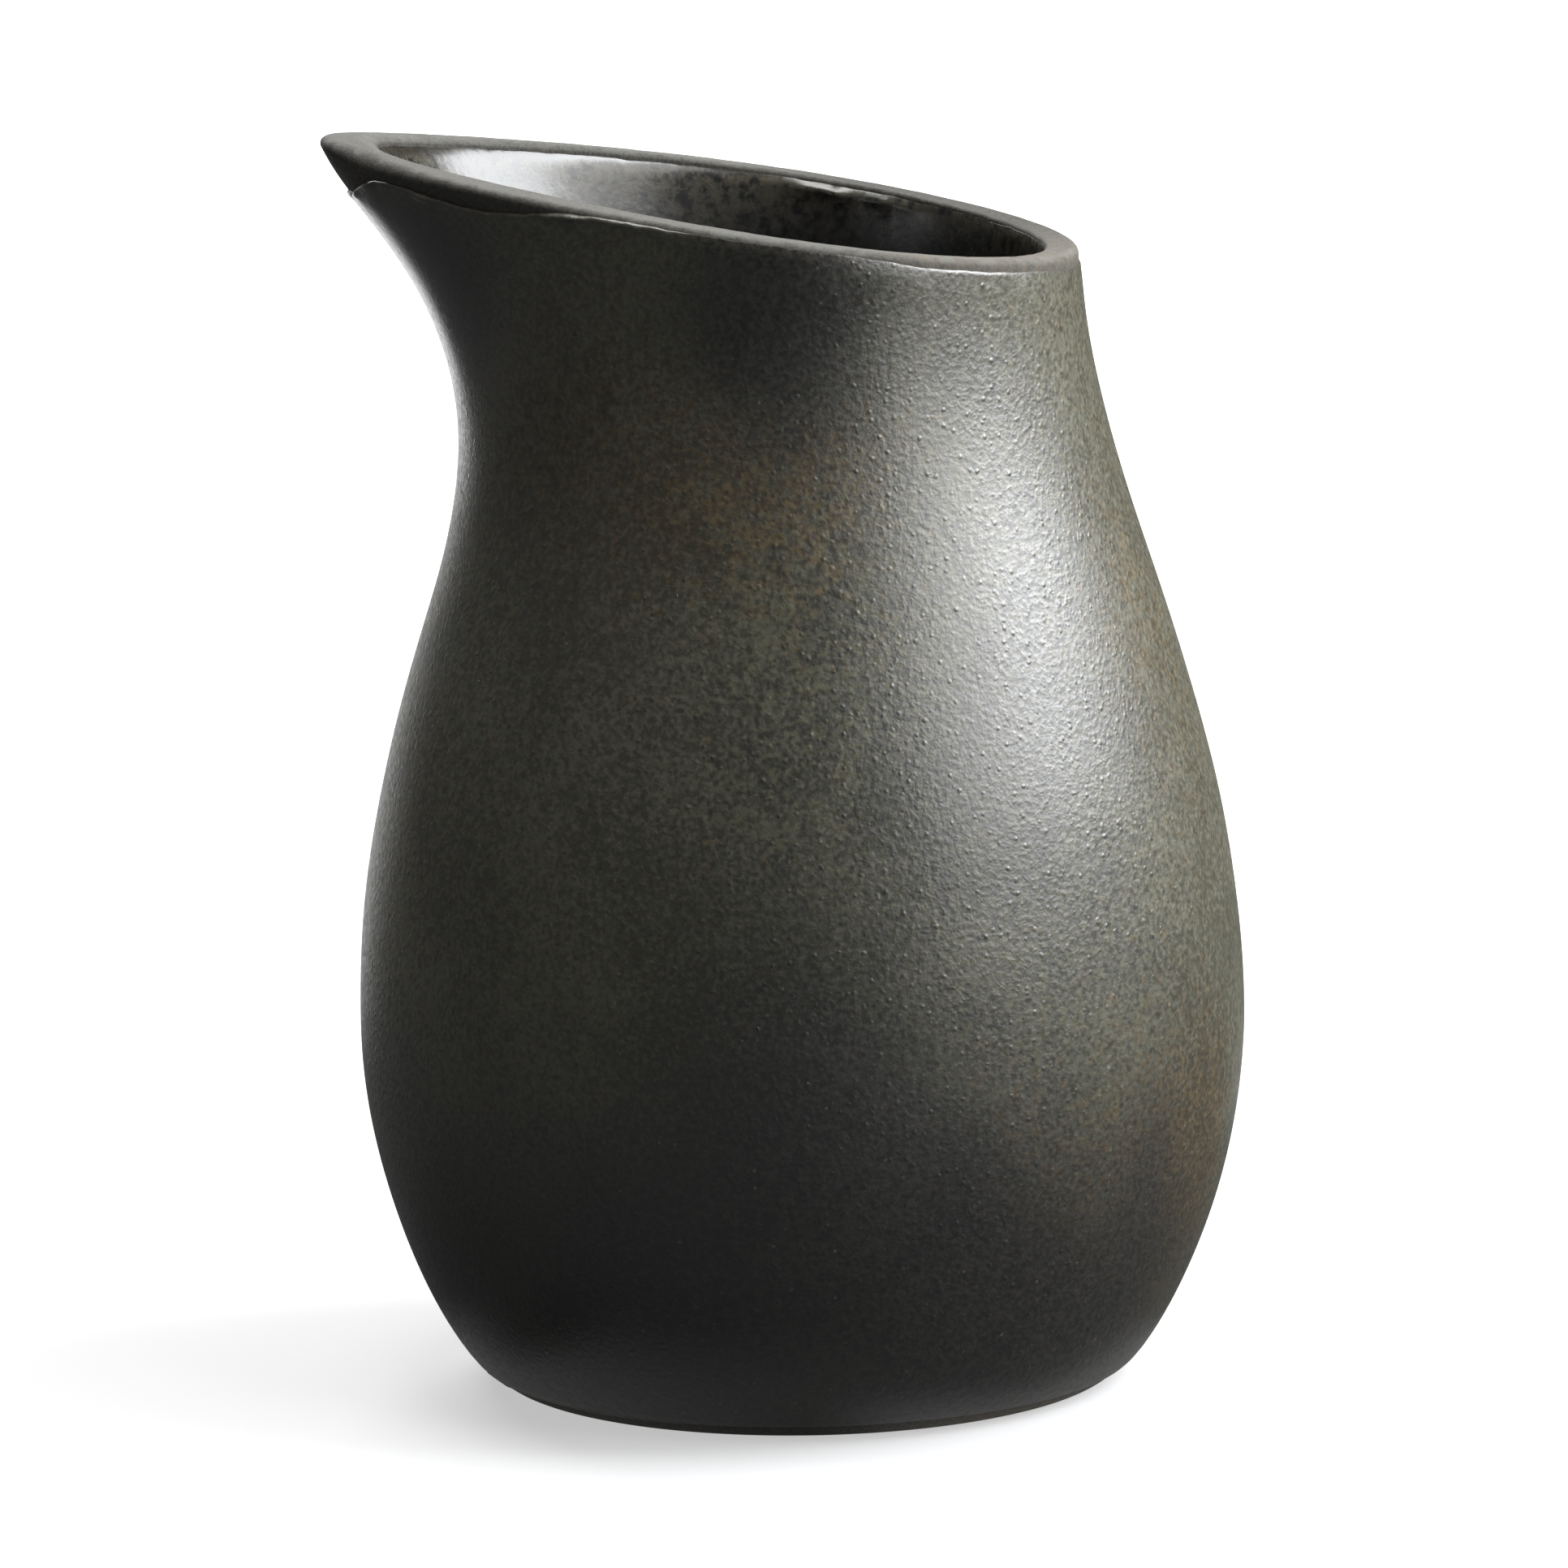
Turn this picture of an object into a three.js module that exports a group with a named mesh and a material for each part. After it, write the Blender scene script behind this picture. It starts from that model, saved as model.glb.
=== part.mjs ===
// Cream jug in dark stoneware: a round body drawn out at the rim into a pouring spout, with no handle.
// The clay carries three coats of glaze: on the outside, on the inside and in the recess under the foot.
// The rim and the ring that the jug stands on are bare clay.

import * as THREE from "three";
import { mergeVertices } from "three/addons/utils/BufferGeometryUtils.js";

// Round clay body, in millimetres: radius and height of belly, foot and neck, and how far each curve pulls
const bellyRadius = 39.7;
const bellyHeight = 33;
const bellyLowerPull = 16;
const bellyUpperPull = 29.5;
const footRadius = 27.4;
const footFlareOut = 4.2;
const footFlareUp = 1.4;
const neckRadius = 25.75;
const neckHeight = 102.5;
const neckPull = 21.5;

// Spout: reach past the neck, start as a share of the height, how sharply it grows from there,
// and its width in degrees at the rim and at its start
const spoutReach = 17.9;
const spoutStart = 0.63;
const spoutGrowth = 2.25;
const spoutWidth = 30;
const spoutSpread = 40;

// Rim: climb towards the spout per millimetre, and the rounding of its edges at the sides and at the tip
const rimClimb = 0.155;
const outerRounding = 1.3;
const outerTipRounding = 2.3;
const innerRounding = 0.6;
const innerTipRounding = 1.2;

// Wall, floor with its bend up into the wall, and the ring of the foot around a shallow recess
const wallThickness = 3;
const tipThickness = 4.4;
const floorThickness = 3.6;
const floorFlatRadius = 20;
const floorBendRise = 7;
const footRingWidth = 6;
const recessDepth = 1.4;
const recessEdgeRun = 1.2;

// Glaze coats, and the clay that they leave bare: under the rounded edges of the rim at the sides,
// the tip and the inside, and above the foot
const outerGlazeThickness = 0.3;
const linerThickness = 0.3;
const baseGlazeThickness = 0.3;
const bareRim = 0.2;
const bareTip = 3.3;
const bareInside = 0.4;
const bareFoot = 0.8;

// Fineness of the facets: steps around, crowded at the spout, steps up, crowded at foot and rim,
// and steps over each bend
const sides = 56;
const crowding = 0.6;
const outerSteps = 17;
const innerSteps = 13;
const bendSteps = 3;
const roundingSteps = 3;
const probe = 0.001;

const floorHeight = recessDepth + floorThickness;
const floorBendHeight = floorHeight + floorBendRise;
const recessRadius = footRadius - footRingWidth - recessEdgeRun;

// Share from 0 to 1 of a row of steps that lie closer together at both ends
function crowded(step, steps) {
  const even = (2 * Math.PI * step) / steps;
  return (even - crowding * Math.sin(even)) / (2 * Math.PI);
}

const turns = [];
for (let step = 0; step < sides; step += 1) {
  turns.push(2 * Math.PI * crowded(step, sides));
}

const lowerProfile = new THREE.CubicBezierCurve(
  new THREE.Vector2(footRadius, 0),
  new THREE.Vector2(footRadius + footFlareOut, footFlareUp),
  new THREE.Vector2(bellyRadius, bellyHeight - bellyLowerPull),
  new THREE.Vector2(bellyRadius, bellyHeight),
);
const upperProfile = new THREE.CubicBezierCurve(
  new THREE.Vector2(bellyRadius, bellyHeight),
  new THREE.Vector2(bellyRadius, bellyHeight + bellyUpperPull),
  new THREE.Vector2(neckRadius, neckHeight - neckPull),
  new THREE.Vector2(neckRadius, neckHeight),
);

// Radius of the round body at a height, found on the profile by halving
function bodyRadius(z) {
  if (z >= neckHeight) return neckRadius;
  const profile = z < bellyHeight ? lowerProfile : upperProfile;
  let low = 0;
  let high = 1;
  for (let step = 0; step < 40; step += 1) {
    const middle = (low + high) / 2;
    if (profile.getPoint(middle).y < z) low = middle;
    else high = middle;
  }
  return profile.getPoint(low).x;
}

// Share of the spout in a direction, where a turn of 0 looks along the spout: 1 there, fading on both sides
function spoutShare(turn, width) {
  const narrow = Math.tan(THREE.MathUtils.degToRad(width) / 2);
  const ahead = (Math.cos(turn / 2) * narrow) ** 2;
  const aside = Math.sin(turn / 2) ** 2;
  return ahead / (ahead + aside);
}

// A size that changes around the rim from the sides to the tip of the spout
function towardsTip(turn, atSides, atTip) {
  return atSides + (atTip - atSides) * spoutShare(turn, spoutWidth);
}

// Height of the rim, which lies in a plane that climbs towards the spout
function rimHeight(turn) {
  const radius = neckRadius + spoutReach * spoutShare(turn, spoutWidth);
  return neckHeight + rimClimb * (neckRadius + radius * Math.cos(turn));
}

// How far the spout has come out at a height, from 0 under its start to 1 at its tip
function bulge(turn, z) {
  const grown = Math.max(0, (z / rimHeight(turn) - spoutStart) / (1 - spoutStart));
  const width = spoutSpread + (spoutWidth - spoutSpread) * grown;
  return grown ** spoutGrowth * spoutShare(turn, width);
}

// A point on the outside of the clay: the spout points along -X
function clayPoint(turn, z) {
  const radius = bodyRadius(z) + spoutReach * bulge(turn, z);
  return new THREE.Vector3(-radius * Math.cos(turn), -radius * Math.sin(turn), z);
}

// The same point moved in level until it lies a depth under the clay's outside, or over it if negative
function wallPoint(turn, z, depth) {
  const point = clayPoint(turn, z);
  const around = clayPoint(turn + probe, z).sub(clayPoint(turn - probe, z));
  const upwards = clayPoint(turn, z + probe).sub(clayPoint(turn, z - probe));
  const normal = around.cross(upwards);
  const shift = (depth * normal.length()) / (normal.x ** 2 + normal.y ** 2);
  return point.sub(new THREE.Vector3(shift * normal.x, shift * normal.y, 0));
}

function wallDepth(turn, z) {
  return wallThickness + (tipThickness - wallThickness) * bulge(turn, z);
}

// A ring of points around the jug
function ring(pointAt) {
  return turns.map((turn) => pointAt(turn));
}

function levelRing(radius, z) {
  return ring((turn) => new THREE.Vector3(-radius * Math.cos(turn), -radius * Math.sin(turn), z));
}

// Outside of the glazed wall, from above the foot to under the rim, at a depth under the clay's outside
function outerRings(depth) {
  const rings = [];
  for (let step = 0; step <= outerSteps; step += 1) {
    const share = crowded(step, outerSteps);
    rings.push(
      ring((turn) => {
        const rounding = towardsTip(turn, outerRounding, outerTipRounding);
        const top = rimHeight(turn) - rounding - towardsTip(turn, bareRim, bareTip);
        return wallPoint(turn, bareFoot + (top - bareFoot) * share, depth);
      }),
    );
  }
  return rings;
}

// Bare rim, from its rounded outer edge over the top to its rounded inner edge
function rimRings() {
  const rings = [];
  for (let step = 0; step <= roundingSteps; step += 1) {
    const angle = (Math.PI / 2) * (step / roundingSteps);
    rings.push(
      ring((turn) => {
        const rounding = towardsTip(turn, outerRounding, outerTipRounding);
        const z = rimHeight(turn) - rounding * (1 - Math.sin(angle));
        return wallPoint(turn, z, rounding * (1 - Math.cos(angle)));
      }),
    );
  }
  for (let step = roundingSteps; step >= 0; step -= 1) {
    const angle = (Math.PI / 2) * (step / roundingSteps);
    rings.push(
      ring((turn) => {
        const rounding = towardsTip(turn, innerRounding, innerTipRounding);
        const z = rimHeight(turn) - rounding * (1 - Math.sin(angle));
        return wallPoint(turn, z, wallDepth(turn, z) - rounding * (1 - Math.cos(angle)));
      }),
    );
  }
  return rings;
}

// Inside of the clay, or a coat on it, from the middle of the floor up the wall to the edge of the glaze
function innerRings(coat) {
  const level = floorHeight + coat;
  const rings = [levelRing(0, level)];
  for (let step = 0; step < bendSteps; step += 1) {
    rings.push(
      ring((turn) => {
        const wall = wallPoint(turn, floorBendHeight, wallThickness + coat);
        const above = wallPoint(turn, floorBendHeight + probe, wallThickness + coat);
        const down = (floorBendHeight - level) / probe;
        const corner = wall.clone().addScaledVector(above.sub(wall), -down);
        const edge = corner.clone().setZ(0).setLength(floorFlatRadius).setZ(level);
        const bend = new THREE.QuadraticBezierCurve3(edge, corner, wall);
        return bend.getPoint(step / bendSteps);
      }),
    );
  }
  for (let step = 0; step <= innerSteps; step += 1) {
    const share = crowded(step, innerSteps);
    rings.push(
      ring((turn) => {
        const rounding = towardsTip(turn, innerRounding, innerTipRounding);
        const top = rimHeight(turn) - rounding - bareInside;
        const z = floorBendHeight + (top - floorBendHeight) * share;
        return wallPoint(turn, z, wallDepth(turn, z) + coat);
      }),
    );
  }
  return rings;
}

// Triangles between two rings, with each four-sided patch split along its shorter diagonal
function addBand(corners, first, second) {
  for (let i = 0; i < sides; i += 1) {
    const next = (i + 1) % sides;
    const [a, b, c, d] = [first[i], first[next], second[next], second[i]];
    const split = a.distanceTo(c) < b.distanceTo(d);
    const triangles = split ? [a, b, c, a, c, d] : [a, b, d, b, c, d];
    for (let k = 0; k < 6; k += 3) {
      const [p, q, r] = triangles.slice(k, k + 3);
      if (p.equals(q) || q.equals(r) || r.equals(p)) continue;
      corners.push(...p.toArray(), ...q.toArray(), ...r.toArray());
    }
  }
}

// A closed body from rings that run around its section
function solid(name, rings, material) {
  const corners = [];
  for (let k = 0; k + 1 < rings.length; k += 1) {
    addBand(corners, rings[k], rings[k + 1]);
  }
  const faces = new THREE.BufferGeometry();
  faces.setAttribute("position", new THREE.Float32BufferAttribute(corners, 3));
  const mesh = new THREE.Mesh(mergeVertices(faces), material);
  mesh.name = name;
  return mesh;
}

const clay = new THREE.MeshStandardMaterial({ color: "#7f786c", roughness: 0.85, metalness: 0 });
const satinGlaze = new THREE.MeshStandardMaterial({ color: "#2e2e28", roughness: 0.4, metalness: 0 });
const glossGlaze = new THREE.MeshStandardMaterial({ color: "#252522", roughness: 0.12, metalness: 0 });

const recessCentre = levelRing(0, recessDepth);
const recessEdge = levelRing(recessRadius, recessDepth);
const clayOutside = outerRings(0);
const clayInside = innerRings(0);
const glazeOutside = outerRings(-outerGlazeThickness);
const linerInside = innerRings(linerThickness);

const body = [
  recessCentre,
  recessEdge,
  levelRing(footRadius - footRingWidth, 0),
  levelRing(footRadius, 0),
  ...clayOutside,
  ...rimRings(),
  ...clayInside.toReversed(),
];
const outerGlaze = [...glazeOutside, ...clayOutside.toReversed(), glazeOutside[0]];
const liner = [...clayInside, ...linerInside.toReversed()];
const baseGlaze = [
  levelRing(0, recessDepth - baseGlazeThickness),
  levelRing(recessRadius, recessDepth - baseGlazeThickness),
  recessEdge,
  recessCentre,
];

const jug = new THREE.Group();
jug.name = "cream_jug";
jug.add(solid("stoneware_body", body, clay));
jug.add(solid("outer_glaze", outerGlaze, satinGlaze));
jug.add(solid("liner_glaze", liner, glossGlaze));
jug.add(solid("base_glaze", baseGlaze, satinGlaze));

// The origin lies on the table under the middle of the jug's length
const middle = new THREE.Box3().setFromObject(jug).getCenter(new THREE.Vector3());
for (const mesh of jug.children) {
  mesh.geometry.translate(-middle.x, 0, 0);
}

export default jug;
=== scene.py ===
# Cream jug in dark stoneware: the looks of the clay and of its three coats of glaze, with stage and camera.

import math

import bpy
import numpy as np
from mathutils import Matrix, Vector


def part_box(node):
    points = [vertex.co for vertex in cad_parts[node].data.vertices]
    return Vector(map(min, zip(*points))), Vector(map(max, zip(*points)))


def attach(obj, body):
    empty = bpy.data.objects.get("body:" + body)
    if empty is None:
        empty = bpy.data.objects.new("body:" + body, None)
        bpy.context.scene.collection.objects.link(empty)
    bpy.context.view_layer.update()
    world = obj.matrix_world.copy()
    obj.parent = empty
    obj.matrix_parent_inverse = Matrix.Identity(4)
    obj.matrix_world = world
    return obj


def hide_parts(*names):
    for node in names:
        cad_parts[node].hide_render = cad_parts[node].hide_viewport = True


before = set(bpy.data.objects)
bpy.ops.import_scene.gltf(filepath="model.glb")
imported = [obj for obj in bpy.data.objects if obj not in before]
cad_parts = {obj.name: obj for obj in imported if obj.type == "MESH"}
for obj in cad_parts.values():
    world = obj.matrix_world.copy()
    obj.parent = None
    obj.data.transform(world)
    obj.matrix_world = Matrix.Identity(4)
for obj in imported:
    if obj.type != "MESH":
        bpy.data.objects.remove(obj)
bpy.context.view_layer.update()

# A millimetre in metres. The shapes below are in millimetres about the jug's axis.
MM = 0.001

# Round clay body, spout, rim, wall and floor, in millimetres and degrees, as in the part's source
BELLY_RADIUS = 39.7
BELLY_HEIGHT = 33
BELLY_LOWER_PULL = 16
BELLY_UPPER_PULL = 29.5
FOOT_RADIUS = 27.4
FOOT_FLARE_OUT = 4.2
FOOT_FLARE_UP = 1.4
NECK_RADIUS = 25.75
NECK_HEIGHT = 102.5
NECK_PULL = 21.5
SPOUT_REACH = 17.9
SPOUT_START = 0.63
SPOUT_GROWTH = 2.25
SPOUT_WIDTH = 30
SPOUT_SPREAD = 40
RIM_CLIMB = 0.155
WALL = 3
TIP_WALL = 4.4
FLOOR_HEIGHT = 5
FLOOR_FLAT_RADIUS = 20
FLOOR_BEND_RISE = 7
FOOT_RING_WIDTH = 6
RECESS_DEPTH = 1.4
RECESS_EDGE_RUN = 1.2
COAT = 0.3

# Height over which the last of the spout's wall turns upright, and height of the bare clay above the foot,
# up to the crept edge of the outer coat
NIB_HEIGHT = 5.5
BARE_FOOT = 1.4

# Rounding of the foot's edges
RECESS_ROUNDING = 0.35
FOOT_ROUNDING = 0.5
FOOT_ROUNDING_UP = 0.25

# How deep the backs of the coats are sunk into the clay
SUNK = 0.03

# Distances of a coat's rows from its edge, and how much tighter the outer coat's lower edge is
EDGE_OFFSETS = [0, 0.012, 0.045, 0.1, 0.17, 0.25, 0.36, 0.5, 0.7, 0.95, 1.3, 1.8, 2.4]
LOWER_EDGE_SCALE = 0.35

# A coat that ends plump: reach of its round edge, rise and place of the low bead on it, and how plump it is
# above the foot and in the recess
ROUND_EDGE = 0.25
BEAD_RISE = 0.6
BEAD_PLACE = 0.3
LOWER_PLUMP = 0.5
RECESS_PLUMP = 0.7

# A coat that thins out: its reach, the share of it that is cut off at the edge, and height, place and fade of
# the low roll on it
OUTER_THINNING = 1.2
LINER_THINNING = 0.5
THIN_START = 0.06
ROLL_HEIGHT = 0.4
ROLL_PLACE = 0.6
ROLL_FADE = 0.8

# Slow swell of the outer coat, and the distance from its edges at which it is in full
SWELL = 0.035
SWELL_START = 4

# How far from their edges the outer coat and the coat in the recess look thin
OUTER_EDGE_FADE = 0.35
RECESS_EDGE_FADE = 0.5

# Stains on the clay on the foot and its edge and beside the outer coat on wall and rim, shade painted on
# the nose's front, the stains' reach, and where the staining along the liner's edge starts to fade
FOOT_STAIN = 0.35
FOOT_EDGE_STAIN = 0.3
WALL_STAIN, WALL_STAIN_REACH = 0.4, 0.5
RIM_STAIN, RIM_STAIN_REACH = 0.35, 0.3
NOSE_PAINTED_SHADE = 0.5
INNER_STAIN_START, INNER_STAIN_REACH = 0.2, 0.25

# How rubbed the clay's edges are: beside the recess, under and outside the foot, outside and inside the rim
RECESS_RUB = 0.7
RING_RUB = 0.5
FOOT_RUB = 0.8
RIM_RUB = 0.55
INNER_RUB = 0.3

# Tables of a degree around the jug and a value there. The spout is at 0, and the photo's side at 90.
# How far the last of the spout's wall draws back as it turns upright, more on the side where it was pinched
NIBS = [
    (-40, 0), (-20, 0.5), (-8, 0.9), (0, 1.0), (5, 1.3), (10, 1.9), (14, 1.9), (20, 1.1), (28, 0.3), (36, 0),
]
# How far the rim's outer edge is rounded down and inwards, and how far its inner edge is rounded
RIM_DROPS = [
    (-60, 0.65), (-35, 0.85), (-22, 1.2), (-12, 1.4), (-4, 0.9),
    (4, 0.9), (12, 1.4), (22, 1.2), (35, 0.85), (60, 0.65),
]
RIM_CROWNS = [
    (-60, 0.65), (-35, 1.0), (-22, 1.3), (-12, 1.4), (-4, 0.8),
    (4, 0.8), (12, 1.2), (22, 1.2), (35, 1.0), (60, 0.65),
]
INNER_ROUNDINGS = [
    (-150, 0.35), (-90, 0.4), (-60, 0.46), (-45, 0.54), (-30, 0.68), (-14, 0.89),
    (0, 1.0), (14, 0.89), (30, 0.68), (45, 0.54), (60, 0.46), (90, 0.4), (150, 0.35),
]
# How far under the rim's top the outer coat and the liner end, and how plump they are there
COAT_DEPTHS = [
    (-170, 1.4), (-130, 1.2), (-90, 1.3), (-60, 1.2), (-38, 1.8), (-24, 2.4), (-10, 4.2),
    (0, 4.9), (6, 4.3), (10, 3.8), (12, 2.4), (15, 2.0), (18, 1.85), (24, 1.95), (32, 2.1), (38, 1.9),
    (46, 0.9), (53, 0.42), (65, 0.45), (85, 0.5), (103, 0.6), (115, 1.0), (140, 1.2), (165, 1.45),
]
LINER_DEPTHS = [
    (-150, 0.35), (-115, 0.4), (-92, 0.55), (-75, 0.75), (-35, 0.9),
    (0, 1.2), (40, 0.7), (90, 0.5), (150, 0.35),
]
COAT_BEADS = [
    (-150, 0.6), (-100, 0.2), (-60, 0.7), (-20, 0.7), (20, 0.75), (40, 0.7), (46, 1.0), (64, 1.0), (71, 0.0),
    (106, 0.0), (114, 0.1), (120, 0.2), (124, 0.4), (133, 0.4), (139, 0.1), (146, 0.0), (175, 0.2),
]
LINER_BEADS = [(-122, 0.0), (-114, 1.0), (-92, 1.0), (-86, 0.1), (-60, 0.0), (60, 0.2), (140, 0.0)]
# How far down the liner looks thin, and how strongly
LINER_SPREADS = [
    (-170, 4.5), (-145, 4.0), (-120, 2.2), (-90, 2.0), (-60, 2.5), (-45, 3.0), (-30, 3.9), (-15, 5.2),
    (0, 6.0), (15, 5.2), (30, 3.9), (45, 3.0), (60, 2.5), (90, 2.0), (120, 1.9), (150, 3.0), (170, 4.5),
]
LINER_LINES = [(-150, 0.7), (-95, 0.7), (-80, 1.0), (60, 1.0), (110, 0.7)]
# How warm the bare clay is, how much darker the rim is all over, and the stains along the rim's inner edge
WARM_CLAY = [(-160, 0.5), (-120, 0.2), (-60, 0.1), (100, 0.1), (118, 0.8), (165, 0.9)]
RIM_DARKENING = [(-175, 0.3), (-150, 0.75), (-100, 0.7), (-88, 0.35), (-72, 0.0), (150, 0.0), (170, 0.1)]
INNER_STAINS = [(-150, 0.3), (-100, 0.3), (-86, 0.4), (-74, 0.95), (40, 0.95), (70, 0.6), (120, 0.5)]

# Degrees over which the values of these tables are eased
EASING = (-3, -1.5, 0, 1.5, 3)

# Ragged edges of the coats, as waves around and their weights: slow ones of the dipped edge, and quick ones
# where it crept, with their heights, the rim's, and how much they change the beads
SLOW = [(2, 0.5), (3, 0.4), (5, 0.3), (8, 0.25)]
QUICK = [(17, 0.35), (29, 0.3), (41, 0.25), (67, 0.2), (97, 0.15), (139, 0.1)]
DIP = 0.05
CREEP = 0.07
FOOT_CREEP = 0.02
RECESS_DIP = 0.1
RIM_GRAIN = 0.02
COAT_BEAD_CREEP = 0.6
LINER_BEAD_CREEP = 0.8

# Clouds on the outer coat: turn in degrees, height, half widths in degrees and millimetres, strength
RUST_CLOUDS = [
    (76, 84, 22, 9, 0.9),
    (98, 88, 12, 12, 0.5),
    (158, 70, 20, 18, 0.7),
    (153, 21, 12, 15, 1.3),
    (120, 16, 20, 10, 0.6),
    (95, 28, 22, 8, 0.4),
    (230, 60, 30, 20, 0.7),
    (300, 30, 25, 15, 0.6),
    (20, 50, 25, 18, 0.4),
    (45, 88, 25, 14, 0.7),
    (138, 20, 20, 16, 0.65),
]
# Partly the coat's own tone, partly painted light: fill light on the upper left and a highlight near 123
# degrees
OLIVE_AND_PAINTED_LIGHT_CLOUDS = [
    (60, 76, 22, 22, 0.65),
    (168, 68, 28, 36, 1.15),
    (150, 98, 26, 8, 0.5),
    (123, 102, 13, 6, 0.75),
    (42, 92, 26, 16, 1.15),
    (50, 42, 30, 18, 0.4),
    (166, 38, 18, 16, 0.5),
    (230, 40, 40, 25, 0.4),
]
# Black clouds darken the coat; the low ones make it darker towards the foot
BLACK_CLOUDS = [
    (87, 101, 24, 14, 1.0),
    (20, 102, 14, 10, 0.9),
    (-20, 102, 14, 10, 0.7),
    (250, 98, 40, 7, 0.6),
    (60, 4, 50, 25, 0.75),
    (101, 6, 43, 26, 0.8),
    (84, 48, 18, 10, 0.33),
    (148, 2, 34, 20, 0.55),
    (141, 25, 7, 15, 0.3),
    (94, 30, 18, 15, 0.5),
    (270, 4, 60, 22, 0.7),
    (0, 6, 50, 20, 0.6),
]
SMOOTH_CLOUDS = [
    (0, 103, 45, 18, 1.1),
    (0, 10, 60, 10, 0.6),
    (84, 104, 16, 9, 0.7),
]
MOST_CLOUD = 1.3

# Index of refraction of the glazes, high because they are rich in iron
OUTER_IOR = 2.3
LINER_IOR = 1.9

# Steps around the jug, crowded at the spout
SIDES = 448
CROWDING = 0.6
even_turns = 2 * np.pi * np.arange(SIDES) / SIDES
TURNS = even_turns - CROWDING * np.sin(even_turns)

# Rows of the outer coat's face and back, of the liner's face, back and bend, and of the clay
OUTER_ROWS, OUTER_BACK_ROWS = 110, 26
LINER_ROWS, LINER_BACK_ROWS, LINER_BEND_ROWS = 60, 22, 10
WALL_ROWS, INNER_WALL_ROWS, FLOOR_BEND_ROWS = 36, 24, 8

# Step by which a surface's slope is taken, and the radius that makes it an angle
PROBE = 0.01
PROBE_RADIUS = 30

# The jug's axis stands in the middle of the round coat under its foot
low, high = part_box("base_glaze")
AXIS_X = (low.x + high.x) / 2

# Half of the jug's height, which lamps and camera turn around, and level of the floor, in metres
MIDDLE_HEIGHT = 0.055
FLOOR_LEVEL = -0.0002


def bezier(points, count=3000):
    """Points along a cubic curve."""
    t = np.linspace(0, 1, count)[:, None]
    a, b, c, d = np.array(points, float)
    return (1 - t) ** 3 * a + 3 * (1 - t) ** 2 * t * b + 3 * (1 - t) * t**2 * c + t**3 * d


def bend(t, start, corner, end):
    """A point along a quadratic curve round a corner."""
    return (1 - t) ** 2 * start + 2 * t * (1 - t) * corner + t**2 * end


lower_profile = bezier([
    (FOOT_RADIUS, 0),
    (FOOT_RADIUS + FOOT_FLARE_OUT, FOOT_FLARE_UP),
    (BELLY_RADIUS, BELLY_HEIGHT - BELLY_LOWER_PULL),
    (BELLY_RADIUS, BELLY_HEIGHT),
])
upper_profile = bezier([
    (BELLY_RADIUS, BELLY_HEIGHT),
    (BELLY_RADIUS, BELLY_HEIGHT + BELLY_UPPER_PULL),
    (NECK_RADIUS, NECK_HEIGHT - NECK_PULL),
    (NECK_RADIUS, NECK_HEIGHT),
])
profile = np.concatenate([lower_profile, upper_profile[1:]])


def spout_share(turn, width):
    """1 along the spout, fading on both sides."""
    ahead = (np.cos(turn / 2) * np.tan(np.radians(width) / 2)) ** 2
    return ahead / (ahead + np.sin(turn / 2) ** 2)


def around(marks, turn):
    """A value around the jug, eased between pairs of degrees and value."""
    degrees, values = zip(*marks)
    return np.mean([np.interp(np.degrees(turn) + shift, degrees, values, period=360) for shift in EASING], 0)


def ring(radius, turn, z):
    """Points at a radius and height, turned from the spout."""
    return np.stack([-radius * np.cos(turn), -radius * np.sin(turn), z + 0 * turn], -1)


def rim_height(turn):
    radius = NECK_RADIUS + SPOUT_REACH * spout_share(turn, SPOUT_WIDTH)
    return NECK_HEIGHT + RIM_CLIMB * (NECK_RADIUS + radius * np.cos(turn))


def bulge(turn, z):
    """How far the spout has come out at a height, from 0 under its start to 1 at its tip."""
    grown = np.maximum(0, (z / rim_height(turn) - SPOUT_START) / (1 - SPOUT_START))
    width = SPOUT_SPREAD + (SPOUT_WIDTH - SPOUT_SPREAD) * grown
    return grown**SPOUT_GROWTH * spout_share(turn, width)


def wall(turn, z):
    """Thickness of the clay's wall."""
    return WALL + (TIP_WALL - WALL) * bulge(turn, z)


def clay_point(turn, z):
    """A point on the outside of the clay, before its rim is rounded."""
    radius = np.interp(z, profile[:, 1], profile[:, 0]) + SPOUT_REACH * bulge(turn, z)
    return ring(radius, turn, z)


def outward(surface, turn, z):
    """Unit normal of a surface of points by turn and height."""
    aside = PROBE / PROBE_RADIUS
    sideways = surface(turn + aside, z) - surface(turn - aside, z)
    upwards = surface(turn, z + PROBE) - surface(turn, z - PROBE)
    normal = np.cross(sideways, upwards)
    return normal / np.linalg.norm(normal, axis=-1, keepdims=True)


def level_shift(turn, z, depth):
    """A point moved in level until it lies a depth under the clay's outside."""
    normal = outward(clay_point, turn, z)
    flat = normal * np.array([1, 1, 0])
    return clay_point(turn, z) - flat * (depth / (flat**2).sum(-1))[..., None]


def rounded_off(turn, z, drop, depth):
    """How far the rounding of a rim's edge draws back at a height."""
    over = np.clip((z - rim_height(turn)) / drop + 1, 0, 1)
    return depth * (1 - np.sqrt(1 - over**2))


def nib(turn, z):
    """How far the last of the spout's wall draws back as it turns upright."""
    height = np.clip((z - rim_height(turn)) / NIB_HEIGHT + 1, 0, 1)
    return around(NIBS, turn) * height**2


def outside_point(turn, z):
    """A point on the outside of the clay, up and over the rounded edge of the rim."""
    drop, crown = around(RIM_DROPS, turn), around(RIM_CROWNS, turn)
    return level_shift(turn, z, rounded_off(turn, z, drop, crown) + nib(turn, z))


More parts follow.
